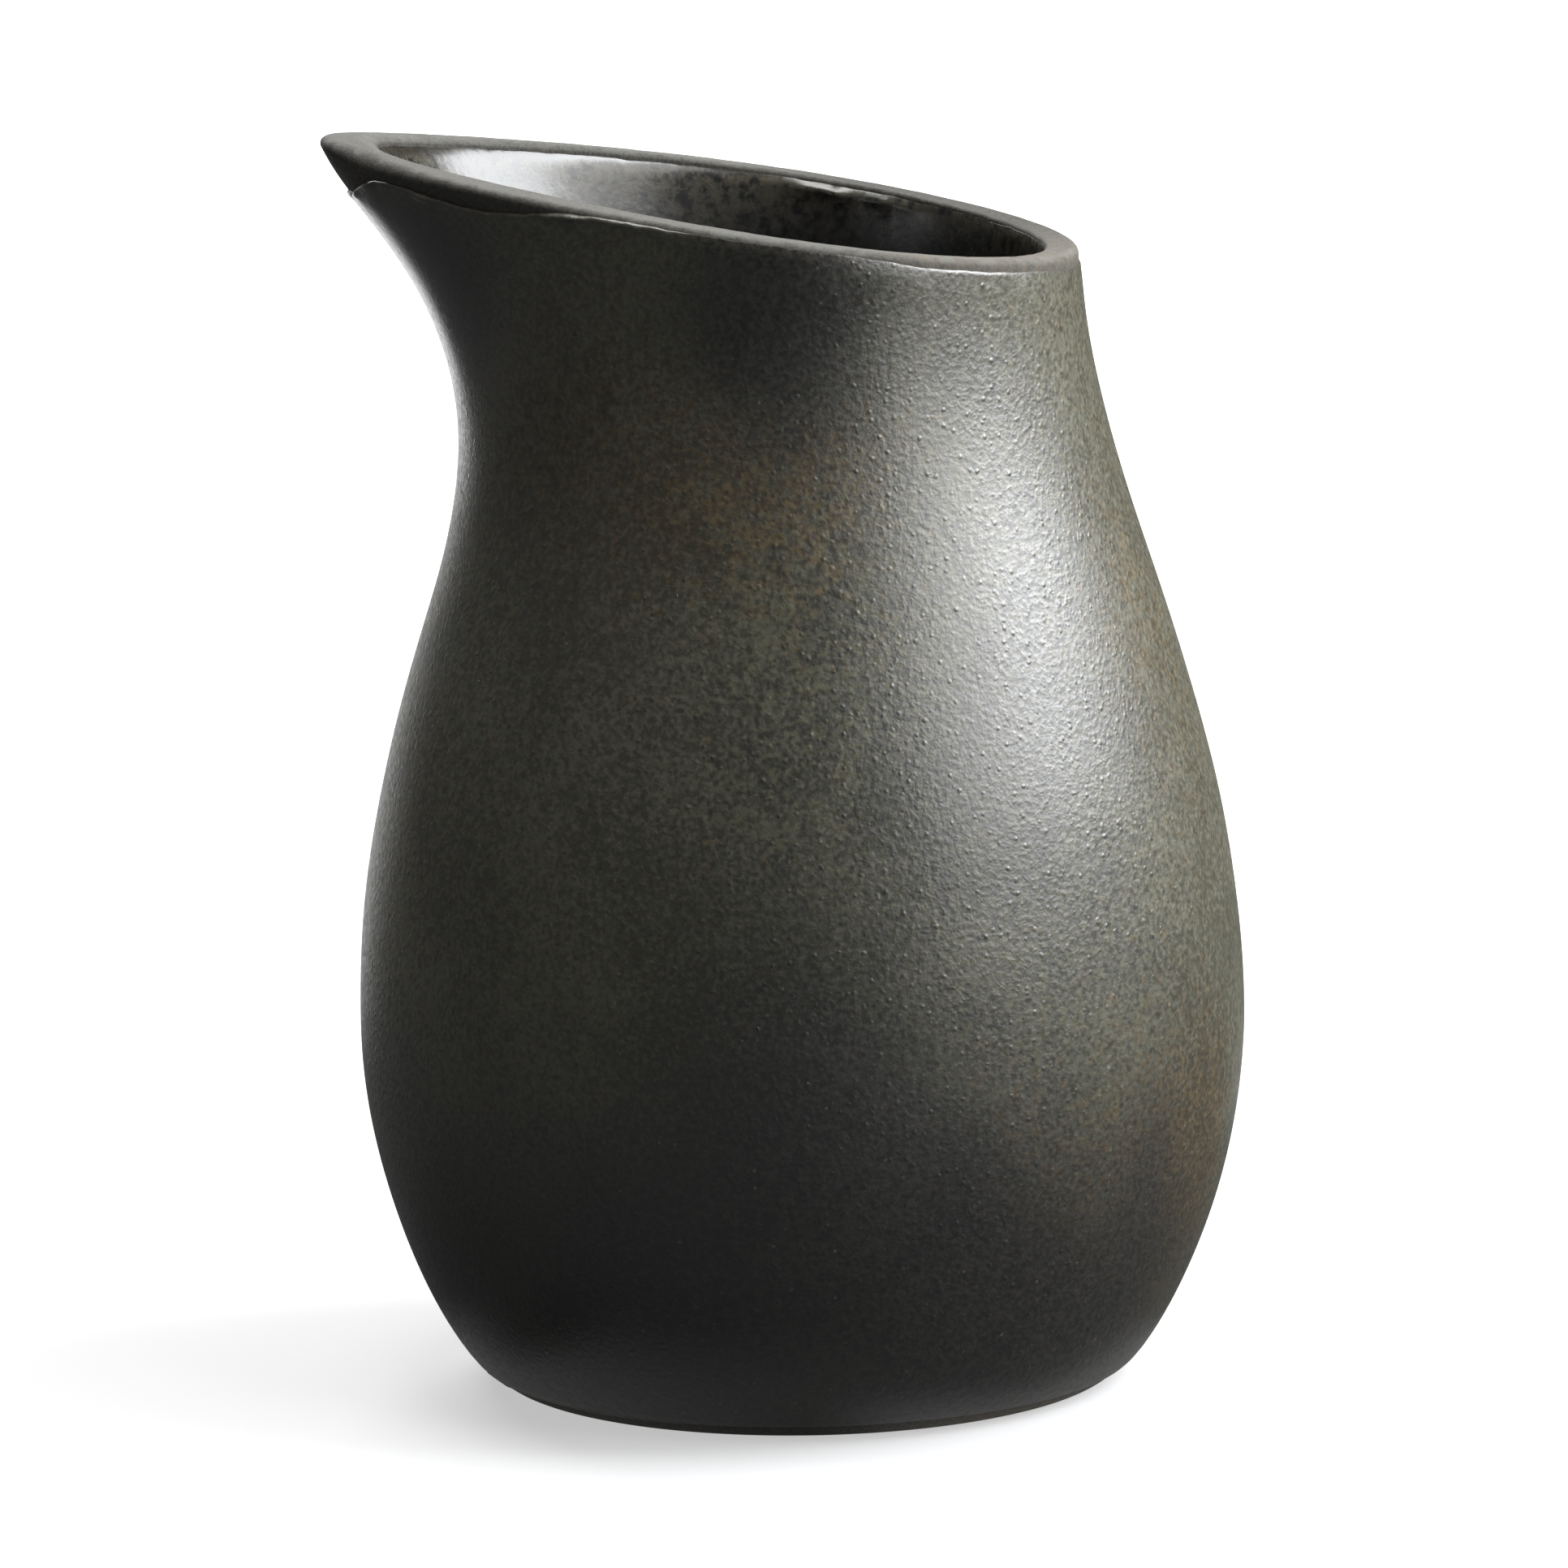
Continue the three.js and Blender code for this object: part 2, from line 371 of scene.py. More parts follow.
def inside_point(turn, z, coat):
    """A point on the inside of the clay, or of a coat on it, up to the rounded edge of the rim."""
    rounding = around(INNER_ROUNDINGS, turn)
    return level_shift(turn, z, wall(turn, z) + coat - rounded_off(turn, z, rounding, rounding))


def ripple(turn, waves, seed):
    """Smooth unevenness around the jug, about -1 to 1, from a list of (waves, weight)."""
    draws = np.random.default_rng(seed)
    total = np.zeros_like(turn)
    for count, weight in waves:
        total = total + weight * np.sin(count * turn + draws.uniform(0, 2 * np.pi))
    return total


def build(name, rows, closed, node, material, attributes):
    """A mesh from rows of points around the jug, in millimetres about its axis."""
    grid = np.array(rows)
    count = len(grid)
    points = grid.reshape(-1, 3) * MM
    points[:, 0] += AXIS_X
    first = np.arange(SIDES)
    following = (first + 1) % SIDES
    faces = []
    for k in range(count if closed else count - 1):
        here = k * SIDES
        above = (k + 1) % count * SIDES
        faces.append(np.stack([here + first, here + following, above + following, above + first], 1))
    mesh = bpy.data.meshes.new(name)
    corners = np.concatenate(faces).tolist()
    if not closed:
        corners.append(list(range(SIDES))[::-1])
        corners.append(list(range((count - 1) * SIDES, count * SIDES)))
    mesh.from_pydata(points.tolist(), [], corners)
    for key, values in attributes.items():
        layer = mesh.attributes.new(key, "FLOAT", "POINT")
        layer.data.foreach_set("value", np.array(values, np.float32).ravel())
    mesh.polygons.foreach_set("use_smooth", np.ones(len(corners), bool))
    mesh.materials.append(material)
    mesh.validate()
    mesh.update()
    piece = bpy.data.objects.new(name, mesh)
    bpy.context.scene.collection.objects.link(piece)
    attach(piece, "root")
    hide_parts(node)


class Shader:
    """A procedural material, made of nodes on a Principled shader, with its textures in millimetres."""

    def __init__(self, name):
        self.material = bpy.data.materials.new(name)
        self.material.use_nodes = True
        self.tree = self.material.node_tree
        self.surface = self.tree.nodes["Principled BSDF"]
        place = self.add("ShaderNodeTexCoord").outputs["Object"]
        scaled = self.add("ShaderNodeVectorMath", {0: place}, operation="SCALE")
        scaled.inputs["Scale"].default_value = 1 / MM
        self.millimetres = scaled.outputs[0]

    def give(self, node, inputs):
        for key, value in inputs.items():
            if isinstance(value, bpy.types.NodeSocket):
                self.tree.links.new(value, node.inputs[key])
            else:
                node.inputs[key].default_value = value

    def add(self, kind, inputs=None, **settings):
        node = self.tree.nodes.new(kind)
        for key, value in settings.items():
            setattr(node, key, value)
        self.give(node, inputs or {})
        return node

    def noise(self, scale, detail, roughness, distortion=0.0):
        inputs = {"Vector": self.millimetres, "Scale": scale, "Detail": detail}
        inputs |= {"Roughness": roughness, "Distortion": distortion}
        return self.add("ShaderNodeTexNoise", inputs).outputs["Fac"]

    def math(self, operation, a, b):
        return self.add("ShaderNodeMath", {0: a, 1: b}, operation=operation).outputs[0]

    def ramp(self, value, start, end, low=0.0, high=1.0):
        inputs = {"Value": value, "From Min": start, "From Max": end, "To Min": low, "To Max": high}
        return self.add("ShaderNodeMapRange", inputs, interpolation_type="SMOOTHSTEP").outputs[0]

    def mix(self, share, a, b):
        node = self.add("ShaderNodeMix", data_type="RGBA")
        self.give(node, {0: share, 6: a, 7: b})
        return node.outputs[2]

    def attribute(self, name):
        return self.add("ShaderNodeAttribute", attribute_name=name).outputs["Fac"]

    def dots(self, scale, inner, outer, start, end):
        """Scattered round dots with soft rims, one in each cell whose draw lies past start, in full past end,
        with scale cells to a millimetre."""
        cells = self.add("ShaderNodeTexVoronoi", {"Vector": self.millimetres, "Scale": scale})
        draw = self.add("ShaderNodeSeparateColor", {0: cells.outputs["Color"]}).outputs[0]
        dot = self.ramp(cells.outputs["Distance"], inner, outer, 1.0, 0.0)
        return self.math("MULTIPLY", dot, self.ramp(draw, start, end))

    def bump(self, height, distance, strength=1.0):
        inputs = {"Height": height, "Strength": strength, "Distance": distance * MM}
        return self.add("ShaderNodeBump", inputs).outputs["Normal"]

    def finish(self, **inputs):
        self.give(self.surface, {key.replace("_", " "): value for key, value in inputs.items()})
        return self.material


def colour(red, green, blue):
    return (red, green, blue, 1.0)


def grey(value):
    return colour(value, value, value)


def satin_glaze(name):
    """Dark iron glaze with a satin, finely pebbled surface, grained from black over olive to rust."""
    s = Shader(name)

    # Grain, from dark to light, and the colours of the clouds in it
    mottle = s.noise(1.1, 3, 0.6)
    grain = s.noise(2.1, 2, 0.55)
    cloud = s.noise(0.06, 3, 0.55, 0.4)
    shade = s.math("ADD", s.math("MULTIPLY", mottle, 0.45), s.math("MULTIPLY", grain, 0.55))
    shade = s.math("ADD", shade, s.math("MULTIPLY", s.math("SUBTRACT", cloud, 0.5), 0.35))
    light = s.ramp(shade, 0.38, 0.66)
    base = s.mix(light, colour(0.02, 0.02, 0.01), colour(0.115, 0.112, 0.064))
    olive = s.mix(light, colour(0.075, 0.072, 0.042), colour(0.185, 0.178, 0.125))
    # Olive clouds: partly the coat's own tone, partly painted fill light and highlight
    base = s.mix(s.attribute("olive"), base, olive)
    hue = s.noise(0.8, 4, 0.7)
    rust = s.math("ADD", s.math("MULTIPLY", s.attribute("rust"), 0.22), hue)
    rusty = s.mix(light, colour(0.05, 0.033, 0.012), colour(0.19, 0.125, 0.042))
    base = s.mix(s.ramp(rust, 0.52, 0.82, 0.0, 0.8), base, rusty)
    black = s.math("ADD", s.attribute("black"), s.math("MULTIPLY", s.math("SUBTRACT", mottle, 0.5), 0.9))
    blackened = s.mix(light, colour(0.004, 0.004, 0.004), colour(0.024, 0.023, 0.02))
    base = s.mix(s.ramp(black, 0.1, 0.9, 0.0, 0.9), base, blackened)

    # Thin edges, dark pits, and pale specks and flecks, which partly stand in for glints: painted glints
    edge = s.math("MULTIPLY", s.attribute("edge"), s.ramp(grain, 0.3, 0.6))
    base = s.mix(edge, base, colour(0.075, 0.066, 0.05))
    pit = s.dots(0.62, 0.06, 0.2, 0.5, 0.9)
    base = s.mix(s.math("MULTIPLY", pit, 0.7), base, colour(0.010, 0.010, 0.009))
    # Pale specks and flecks: partly the glaze's own, partly painted glints of the lamps on the pebbles
    speck_and_glint = s.dots(0.21, 0.02, 0.045, 0.7, 0.75)
    base = s.mix(s.math("MULTIPLY", speck_and_glint, 0.5), base, colour(0.30, 0.30, 0.27))
    fleck_and_glint = s.dots(0.6, 0.05, 0.13, 0.4, 0.9)
    base = s.mix(s.math("MULTIPLY", fleck_and_glint, 0.55), base, colour(0.2, 0.19, 0.15))

    # Pebbles, lower and glossier where the coat is smooth
    smooth = s.attribute("smooth")
    dome = s.dots(1.4, 0.05, 0.4, 0.4, 1.0)
    pebble = s.noise(1.9, 2, 0.5)
    height = s.math("ADD", s.math("MULTIPLY", pebble, 0.8), s.math("MULTIPLY", dome, 0.5))
    height = s.math("SUBTRACT", height, s.math("MULTIPLY", pit, 0.2))
    normal = s.bump(height, 0.075, s.ramp(smooth, 0.0, 1.0, 1.0, 0.25))
    roughness = s.math("ADD", s.ramp(pebble, 0.3, 0.7, 0.47, 0.33), s.math("MULTIPLY", speck_and_glint, 0.2))
    roughness = s.math("SUBTRACT", roughness, s.math("MULTIPLY", smooth, 0.22))
    return s.finish(Base_Color=base, Roughness=roughness, IOR=OUTER_IOR, Normal=normal)


def gloss_glaze(name):
    """Glossy black liner glaze, thinner and olive towards its edge, which is a thin dark line."""
    s = Shader(name)
    mottle = s.noise(1.0, 4, 0.65)
    grain = s.noise(2.8, 3, 0.6)
    base = s.mix(s.ramp(mottle, 0.3, 0.7), colour(0.010, 0.010, 0.011), colour(0.036, 0.035, 0.032))
    edge = s.attribute("edge")
    thin = s.math("MULTIPLY", edge, s.ramp(mottle, 0.36, 0.56))
    base = s.mix(thin, base, colour(0.11, 0.10, 0.066))
    line = s.math("ADD", edge, s.math("MULTIPLY", s.math("SUBTRACT", grain, 0.5), 0.25))
    base = s.mix(s.ramp(line, 0.74, 0.9, 0.0, 0.85), base, colour(0.022, 0.018, 0.012))
    normal = s.bump(s.noise(1.2, 2, 0.5), 0.022)
    roughness = s.math("ADD", s.ramp(mottle, 0.3, 0.7, 0.23, 0.27), s.math("MULTIPLY", edge, 0.03))
    return s.finish(Base_Color=base, Roughness=roughness, IOR=LINER_IOR, Normal=normal)


def bare_clay(name):
    """Matt fired clay: fine grains, a few dark ones, warmer patches, stains and painted shade, rubbed lighter
    edges.
    """
    s = Shader(name)
    grain = s.noise(3.2, 4, 0.65)
    base = s.mix(s.ramp(grain, 0.3, 0.7), colour(0.09, 0.088, 0.077), colour(0.166, 0.163, 0.145))
    warm = s.math("MULTIPLY", s.attribute("warm"), s.ramp(s.noise(1.1, 4, 0.6), 0.25, 0.7))
    base = s.mix(warm, base, colour(0.215, 0.186, 0.147))
    # Stains, the darker far rim, and shade painted on the spout's nose all darken the clay here
    stain_and_shade = s.math("MULTIPLY", s.attribute("stain_and_shade"), s.ramp(grain, 0.2, 0.7, 1.0, 0.5))
    base = s.mix(stain_and_shade, base, colour(0.015, 0.013, 0.010))
    dark = s.dots(1.1, 0.1, 0.2, 0.78, 0.82)
    base = s.mix(s.math("MULTIPLY", dark, 0.6), base, colour(0.05, 0.04, 0.03))
    rubbed = s.math("MULTIPLY", s.attribute("worn"), s.ramp(s.noise(0.7, 3, 0.6), 0.42, 0.62))
    base = s.mix(rubbed, base, colour(0.2, 0.196, 0.176))
    normal = s.bump(grain, 0.06)
    roughness = s.ramp(grain, 0.3, 0.7, 0.78, 0.92)
    roughness = s.math("SUBTRACT", roughness, s.math("MULTIPLY", rubbed, 0.2))
    return s.finish(Base_Color=base, Roughness=roughness, Normal=normal)


def bead(distance, plump):
    """Thickness of a coat at a distance from its edge: round at the edge, then a low bead, then even."""
    inside = np.clip(1 - distance / ROUND_EDGE, 0, 1)
    crown = np.exp(-(((distance - BEAD_PLACE) / BEAD_PLACE) ** 2))
    return COAT * np.sqrt(1 - inside**2) * (1 + BEAD_RISE * plump * crown)


def thinned(distance, plump, reach):
    """Thickness of a coat that thins out over a reach towards its edge, with a low roll where it is plump."""
    even = COAT * (1 - np.exp(-(distance + THIN_START * reach) / reach))
    roll = np.minimum(distance / ROLL_PLACE, 1) * np.exp(-np.maximum(0, distance - ROLL_PLACE) / ROLL_FADE)
    return even + ROLL_HEIGHT * plump * roll


def ragged(dip_seed, creep_seed, creep):
    """Height of a coat's ragged edge around the jug."""
    return DIP * ripple(TURNS, SLOW, dip_seed) + creep * ripple(TURNS, QUICK, creep_seed)


outer_top = rim_height(TURNS) - around(COAT_DEPTHS, TURNS) + ragged(1, 2, CREEP)
outer_bottom = BARE_FOOT + ragged(3, 4, FOOT_CREEP)
inner_top = rim_height(TURNS) - around(LINER_DEPTHS, TURNS) + ragged(5, 6, CREEP)
outer_plump = around(COAT_BEADS, TURNS) * (1 + COAT_BEAD_CREEP * ripple(TURNS, QUICK, 9))
inner_plump = around(LINER_BEADS, TURNS) * (1 + LINER_BEAD_CREEP * ripple(TURNS, QUICK, 10))
bend_height = FLOOR_HEIGHT + FLOOR_BEND_RISE


def clouds_at(clouds, turn, z):
    total = np.zeros_like(z)
    for middle, height, wide, tall, strength in clouds:
        aside = (np.degrees(turn) - middle + 180) % 360 - 180
        total += strength * np.exp(-((aside / wide) ** 2) - ((z - height) / tall) ** 2)
    return total


def outer_heights():
    """Heights of the outer coat's rows from its lower to its upper edge, close together near both."""
    lower = EDGE_OFFSETS[-1] * LOWER_EDGE_SCALE
    middle = outer_top - outer_bottom - lower - EDGE_OFFSETS[-1]
    heights = [outer_bottom + offset * LOWER_EDGE_SCALE for offset in EDGE_OFFSETS]
    for share in np.linspace(0, 1, OUTER_ROWS + 2)[1:-1]:
        heights.append(outer_bottom + lower + middle * share)
    return heights + [outer_top - offset for offset in reversed(EDGE_OFFSETS)]


def glaze_outside():
    """Outer coat: its face up from the lower edge, then its back down against the clay."""
    clouds = {"rust": RUST_CLOUDS, "olive": OLIVE_AND_PAINTED_LIGHT_CLOUDS, "black": BLACK_CLOUDS, "smooth": SMOOTH_CLOUDS}
    values = {key: [] for key in [*clouds, "edge"]}
    rows = []
    for z in outer_heights():
        distance = np.minimum(outer_top - z, (z - outer_bottom) / LOWER_EDGE_SCALE)
        swell = SWELL * np.sin(z / 4.1 + 2 * np.sin(TURNS)) * np.sin(3 * TURNS + z / 9)
        ending = np.clip(np.where(outer_top - z < z - outer_bottom, outer_plump, LOWER_PLUMP), 0, 1)
        thickness = thinned(distance, 0, OUTER_THINNING) * (1 - ending) + bead(distance, outer_plump) * ending
        thickness += swell * np.clip(distance / SWELL_START, 0, 1)
        rows.append(outside_point(TURNS, z) + outward(outside_point, TURNS, z) * thickness[:, None])
        for key, places in clouds.items():
            values[key].append(np.clip(clouds_at(places, TURNS, z), 0, MOST_CLOUD))
        values["edge"].append(np.exp(-distance / OUTER_EDGE_FADE))
    for share in np.linspace(1, 0, OUTER_BACK_ROWS):
        z = outer_bottom + (outer_top - outer_bottom) * share
        rows.append(outside_point(TURNS, z) - outward(outside_point, TURNS, z) * SUNK)
        for kept in values.values():
            kept.append(0 * TURNS)
    build("outer_coat", rows, True, "outer_glaze", satin_glaze("satin_glaze"), values)


def floor_rows(coat, bend_rows):
    """The flat floor from its middle and the bend up to the wall."""
    level = FLOOR_HEIGHT + coat
    depth = WALL + coat + 0 * TURNS
    rise = 0.05
    end = level_shift(TURNS, bend_height + 0 * TURNS, depth)
    above = level_shift(TURNS, bend_height + rise + 0 * TURNS, depth)
    corner = end - (above - end) * ((bend_height - level) / rise)
    edge = corner * np.array([1, 1, 0])
    edge = edge / np.linalg.norm(edge, axis=1, keepdims=True) * FLOOR_FLAT_RADIUS
    edge[:, 2] = level
    rows = [edge * np.array([share, share, 1]) for share in (0.01, 0.2, 0.4, 0.6, 0.8)]
    for t in np.linspace(0, 1, bend_rows, endpoint=False):
        rows.append(bend(t, edge, corner, end))
    return rows


def liner():
    """Closed cup on the inside of the clay: its back up against the clay, then its face down to the floor."""
    rows, edge = [], []

    def add(row, thin):
        rows.append(row)
        edge.append(thin + 0 * TURNS)

    for row in floor_rows(-SUNK, LINER_BEND_ROWS):
        add(row, 0)
    for share in np.linspace(0, 1, LINER_BACK_ROWS):
        add(inside_point(TURNS, bend_height + (inner_top - bend_height) * share, -SUNK), 0)
    heights = [inner_top - offset for offset in EDGE_OFFSETS[:-1]]
    for share in np.linspace(1, 0, LINER_ROWS):
        heights.append(bend_height + (inner_top - EDGE_OFFSETS[-1] - bend_height) * share)
    spread, line = around(LINER_SPREADS, TURNS), around(LINER_LINES, TURNS)
    for z in heights:
        distance = inner_top - z
        add(
            inside_point(TURNS, z, thinned(distance, inner_plump, LINER_THINNING)),
            np.exp(-distance / spread) * line,
        )
    for row in reversed(floor_rows(COAT, LINER_BEND_ROWS)):
        add(row, 0)
    build("liner_coat", rows, False, "liner_glaze", gloss_glaze("gloss_glaze"), {"edge": edge})


def clay_body():
    """The clay, from the middle of its recess over foot, outside, rim and inside to the floor's middle."""
    rows, stain_and_shade, worn = [], [], []

    def add(row, mark=0.0, rub=0.0):
        rows.append(row)
        stain_and_shade.append(mark + 0 * TURNS)
        worn.append(rub + 0 * TURNS)

    def beside_coat(z, reach):
        return np.exp(-np.maximum(0, z - outer_top) / reach)

    def inner_stain(z):
        past = np.maximum(0, z - inner_top - INNER_STAIN_START)
        return around(INNER_STAINS, TURNS) * np.exp(-past / INNER_STAIN_REACH)

    # Recess and foot ring
    inner = FOOT_RADIUS - FOOT_RING_WIDTH
    recess = inner - RECESS_EDGE_RUN
    for radius in (0.2, 5, 10, 15, recess):
        add(ring(radius, TURNS, RECESS_DEPTH))
    add(ring(recess + 0.3, TURNS, RECESS_DEPTH - 0.2))
    add(ring(inner - 0.3, TURNS, 0.2))
    for angle in np.radians([0, 30, 60, 90]):
        across, up = RECESS_ROUNDING * np.sin(angle), 0.12 * (1 - np.sin(angle))
        add(ring(inner + across, TURNS, up), rub=RECESS_RUB)
    for radius in (inner + 1, inner + 2, inner + 3, inner + 4, FOOT_RADIUS - FOOT_ROUNDING):
        add(ring(radius, TURNS, 0.0), rub=RING_RUB)

    # Foot's rounded edge and bare band, and the wall under the coat
    start = ring(FOOT_RADIUS - FOOT_ROUNDING, TURNS, 0.0)
    corner = ring(FOOT_RADIUS + 0.1, TURNS, 0.0)
    end = clay_point(TURNS, FOOT_ROUNDING_UP + 0 * TURNS)
    for t in (0.25, 0.5, 0.75):
        add(bend(t, start, corner, end), FOOT_EDGE_STAIN, FOOT_RUB)
    band = (FOOT_ROUNDING_UP, 0.45, 0.65, 0.85, 1.05, 1.25, 1.5, 1.8, 2.2)
    for z in band:
        add(clay_point(TURNS, z + 0 * TURNS), FOOT_STAIN)
    rim = rim_height(TURNS)
    drop, crown = around(RIM_DROPS, TURNS), around(RIM_CROWNS, TURNS)
    near_rim = (7, 6, 5, 4.2, 3.5, 2.9, 2.4, 1.9, 1.5, 1.1, 0.7, 0.3)
    for share in np.linspace(0, 1, WALL_ROWS)[1:-1]:
        add(clay_point(TURNS, band[-1] + (rim - drop - near_rim[0] - band[-1]) * share))
    for offset in near_rim:
        z = rim - drop - offset
        add(outside_point(TURNS, z), beside_coat(z, WALL_STAIN_REACH) * WALL_STAIN)

    # Rim: its outer rounding, its top and its inner rounding
    rounding = around(INNER_ROUNDINGS, TURNS)
    # The rim's clay is darker in colour, most on its far right
    rim_darker = around(RIM_DARKENING, TURNS)
    grain = RIM_GRAIN * ripple(TURNS, QUICK, 7)
    # Painted shade: the clay on the front of the spout's nose, turned away from the light, is darkened in its
    # colour
    nose = NOSE_PAINTED_SHADE * spout_share(TURNS, SPOUT_WIDTH) ** 2
    for angle in np.radians(np.linspace(0, 90, 10)):
        z = rim - drop * (1 - np.sin(angle))
        depth = crown * (1 - np.cos(angle)) + nib(TURNS, z)
        mark = np.maximum(beside_coat(z, RIM_STAIN_REACH) * RIM_STAIN, nose * np.cos(angle))
        row = level_shift(TURNS, z + grain * np.sin(angle), depth)
        add(row, np.maximum(mark, rim_darker), RIM_RUB * np.sin(2 * angle))
    thickness = wall(TURNS, rim)
    flat_start = crown + nib(TURNS, rim)
    for share in (0.25, 0.5, 0.75):
        depth = flat_start + (thickness - rounding - flat_start) * share
        add(level_shift(TURNS, rim + grain, depth), rim_darker)
    for angle in np.radians(np.linspace(90, 0, 9)):
        z = rim - rounding * (1 - np.sin(angle)) + grain * np.sin(angle)
        row = level_shift(TURNS, z, thickness - rounding * (1 - np.cos(angle)))
        add(row, np.maximum(inner_stain(z), rim_darker), INNER_RUB * np.sin(2 * angle))

    # Inside
    for offset in (0.1, 0.2, 0.3, 0.4, 0.5, 0.65, 0.9, 1.4):
        z = rim - rounding - offset
        add(inside_point(TURNS, z, 0), inner_stain(z))
    for share in np.linspace(1, 0, INNER_WALL_ROWS):
        add(inside_point(TURNS, bend_height + (rim - rounding - 2 - bend_height) * share, 0))
    for row in reversed(floor_rows(0.0, FLOOR_BEND_ROWS)):
        add(row)
    warm = np.tile(around(WARM_CLAY, TURNS), (len(rows), 1))
    values = {"stain_and_shade": stain_and_shade, "worn": worn, "warm": warm}
    build("clay_body", rows, False, "stoneware_body", bare_clay("bare_clay"), values)


def recess_coat():
    """Thin coat in the recess under the foot, with a rounded, slightly ragged edge."""
    rows, rust, edge = [], [], []
    outline = FOOT_RADIUS - FOOT_RING_WIDTH - RECESS_EDGE_RUN - 0.1 + RECESS_DIP * ripple(TURNS, SLOW, 8)
    for offset in (16, 12, 8, 5, 3, 1.8, 1.1, 0.7, 0.4, 0.25, 0.17, 0.1, 0.045, 0.012, 0):
        rows.append(ring(outline - offset, TURNS, RECESS_DEPTH - bead(offset + 0 * TURNS, RECESS_PLUMP)))
        rust.append(0.5 + 0.3 * np.sin(TURNS + offset))
        edge.append(np.exp(-offset / RECESS_EDGE_FADE) + 0 * TURNS)
    back = rows[-1] + np.array([0, 0, SUNK])
    for share in (1.0, 0.6, 0.3, 0.1):
        rows.append(back * np.array([share, share, 1]))
        rust.append(0 * TURNS)
        edge.append(0 * TURNS)
    values = {"rust": rust, "edge": edge}
    build("recess_coat", rows, False, "base_glaze", satin_glaze("recess_glaze"), values)


clay_body()
glaze_outside()
liner()
recess_coat()


def pale_floor():
    """The floor is white to the camera, with the jug's shadow. To the jug it is dark, as if flagged off,
    except behind it on the left, in a strip behind it on the right, and close around its foot."""
    s = Shader("floor")
    parts = s.add("ShaderNodeSeparateXYZ", {0: s.millimetres}).outputs
    x, y = parts["X"], parts["Y"]
    away = s.add("ShaderNodeVectorMath", {0: s.millimetres}, operation="LENGTH").outputs["Value"]
    seen = s.add("ShaderNodeLightPath").outputs["Is Camera Ray"]

    # Pale parts behind the jug
    slanted = s.add("ShaderNodeVectorMath", {0: s.millimetres, 1: (0.82, 0.57, 0)}, operation="DOT_PRODUCT")
    left = s.math("MULTIPLY", s.ramp(y, 130, 190), s.ramp(x, 60, 20))
    left = s.math("MULTIPLY", left, s.ramp(slanted.outputs["Value"], -40, 40))
    right = s.math("MULTIPLY", s.ramp(x, 55, 65), s.ramp(x, 95, 80))
    right = s.math("MULTIPLY", right, s.ramp(y, 60, 100))
    right = s.math("MULTIPLY", right, s.ramp(y, 170, 140))
    flagged = s.mix(left, grey(0.035), colour(0.82, 0.82, 0.81))
    flagged = s.mix(right, flagged, grey(0.38))

    # Bounce around the foot: narrow on the right, wide and dimmer towards the left
    reach = s.math("SUBTRACT", away, s.ramp(y, -25, -5, 0, 5))
    narrow = s.math("MULTIPLY", s.ramp(x, 0, 14, 0.0, 0.2), s.ramp(reach, 30, 35, 1.0, 0.0))
    reach = s.math("ADD", reach, s.ramp(x, -34, -24, 7, 0))
    wide = s.math("MULTIPLY", s.ramp(x, -26, 18, 0.145, 0.035), s.ramp(reach, 30, 46, 1.0, 0.0))
    bounce = s.math("MULTIPLY", s.math("SUBTRACT", 1.0, seen), s.math("ADD", narrow, wide))

    # White to the camera, less so where the jug's shadow falls
    white = s.math("MULTIPLY", seen, s.ramp(away, 60, 600, 0.5, 0.95))
    s.finish(
        Base_Color=s.mix(seen, flagged, grey(0.52)),
        Roughness=0.9,
        Emission_Color=grey(1),
        Emission_Strength=s.math("ADD", white, bounce),
    )

    # Cells a side, and half the side in metres
    cells, half = 8, 4
    marks = np.linspace(-half, half, cells + 1)
    points = [(across, along, FLOOR_LEVEL) for along in marks for across in marks]
    faces = []
    for row in range(cells):
        for column in range(cells):
            start = row * (cells + 1) + column
            faces.append((start, start + 1, start + cells + 2, start + cells + 1))
    mesh = bpy.data.meshes.new("floor")
    mesh.from_pydata(points, [], faces)
    mesh.materials.append(s.material)
    sheet = bpy.data.objects.new("floor", mesh)
    bpy.context.scene.collection.objects.link(sheet)


def soft_lamp(name, place, target, width, height, power, tint=(1, 1, 1)):
    """A rectangular lamp at a place, turned to a target, in metres and watts."""
    light = bpy.data.lights.new(name, "AREA")
    light.shape = "RECTANGLE"
    light.size = width
    light.size_y = height
    light.energy = power
    light.color = tint
    lamp = bpy.data.objects.new(name, light)
    lamp.location = place
    lamp.rotation_euler = (Vector(target) - Vector(place)).to_track_quat("-Z", "Y").to_euler()
    bpy.context.scene.collection.objects.link(lamp)


def round_about(azimuth, elevation, distance):
    """A place around the jug: azimuth from the camera's side towards +X, in degrees and metres."""
    a, e = math.radians(azimuth), math.radians(elevation)
    flat = distance * math.cos(e)
    return (flat * math.sin(a), -flat * math.cos(a), MIDDLE_HEIGHT + distance * math.sin(e))


pale_floor()

middle = (0, 0, MIDDLE_HEIGHT)
cool = (0.94, 0.965, 1.0)
soft_lamp("key", round_about(90.5, 37.5, 1.0), middle, width=0.68, height=0.85, power=15.0, tint=cool)
soft_lamp("side", round_about(57, 31, 1.0), middle, width=0.6, height=0.8, power=4.2)
soft_lamp("top", (0, 0, 1.2), middle, width=0.5, height=0.5, power=4.5)
soft_lamp("back", round_about(-160, 40, 1.3), (-0.2, 0.4, 0), width=0.9, height=0.5, power=12.5)

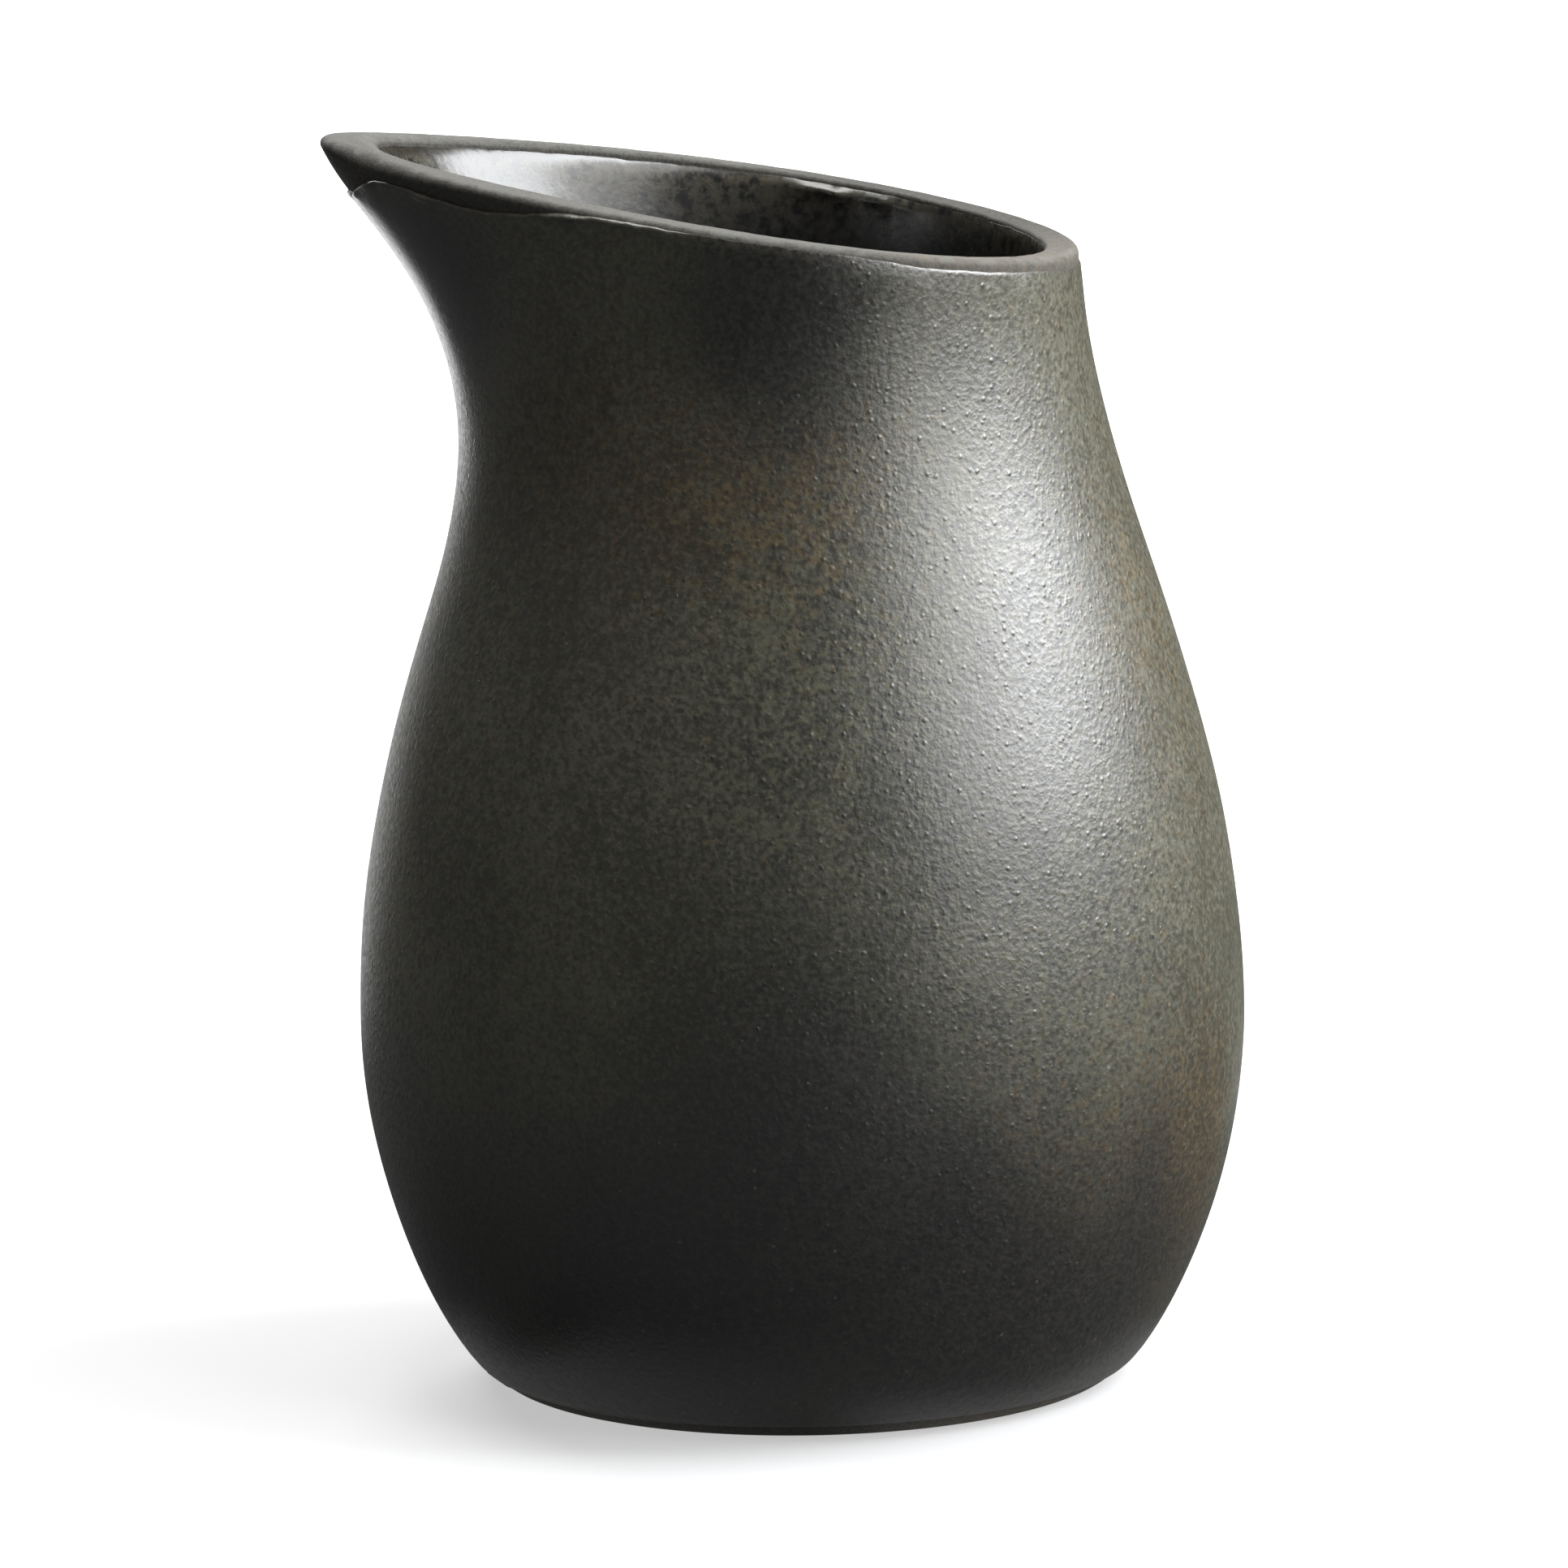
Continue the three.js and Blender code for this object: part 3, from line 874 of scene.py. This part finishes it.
# World: dim, with one lighter patch behind on the left
world = bpy.data.worlds.new("studio")
world.use_nodes = True
bpy.context.scene.world = world
nodes, links = world.node_tree.nodes, world.node_tree.links
direction = nodes.new("ShaderNodeTexCoord")
behind_left = nodes.new("ShaderNodeVectorMath")
behind_left.operation = "DOT_PRODUCT"
behind_left.inputs[1].default_value = (-0.26, 0.966, 0)
strength = nodes.new("ShaderNodeMapRange")
strength.interpolation_type = "SMOOTHSTEP"
strength.inputs["From Min"].default_value = 0.945
strength.inputs["From Max"].default_value = 0.985
strength.inputs["To Min"].default_value = 0.078
strength.inputs["To Max"].default_value = 0.6
links.new(direction.outputs["Generated"], behind_left.inputs[0])
links.new(behind_left.outputs["Value"], strength.inputs["Value"])
links.new(strength.outputs[0], nodes["Background"].inputs["Strength"])
nodes["Background"].inputs["Color"].default_value = (1, 1, 1, 1)

# Camera: where the photograph was taken from, with its long lens and slight roll. The image, the focal length
# and the shift of the jug from the image's middle are in the photograph's pixels, the distance in metres.
IMAGE = 1932
FOCAL_PIXELS = 13669.5
ELEVATION = math.radians(10.082)
AZIMUTH = math.radians(-0.185)
ROLL = math.radians(-0.875)
DISTANCE = 1.001
OFF_RIGHT, OFF_UP = 18.02, 15.64

ahead = Vector((-math.sin(AZIMUTH), math.cos(AZIMUTH), 0))
right = Vector((math.cos(AZIMUTH), math.sin(AZIMUTH), 0))
forward = ahead * math.cos(ELEVATION) - Vector((0, 0, math.sin(ELEVATION)))
upright = Vector((0, 0, math.cos(ELEVATION))) + ahead * math.sin(ELEVATION)
across = right * math.cos(ROLL) + upright * math.sin(ROLL)
over = upright * math.cos(ROLL) - right * math.sin(ROLL)
centre = Vector((AXIS_X, 0, MIDDLE_HEIGHT))
eye = centre - forward * DISTANCE
aim = centre - (across * OFF_RIGHT + over * OFF_UP) * (DISTANCE / FOCAL_PIXELS)
back = (eye - aim).normalized()
side = over.cross(back).normalized()
top = back.cross(side)
camera = bpy.data.cameras.new("camera")
camera.sensor_width = 36
camera.lens = FOCAL_PIXELS / IMAGE * camera.sensor_width
camera.clip_start = 0.05
viewer = bpy.data.objects.new("camera", camera)
viewer.matrix_world = Matrix((side, top, back)).transposed().to_4x4()
viewer.location = eye
bpy.context.scene.collection.objects.link(viewer)
bpy.context.scene.camera = viewer

bpy.context.scene.view_settings.view_transform = "Standard"
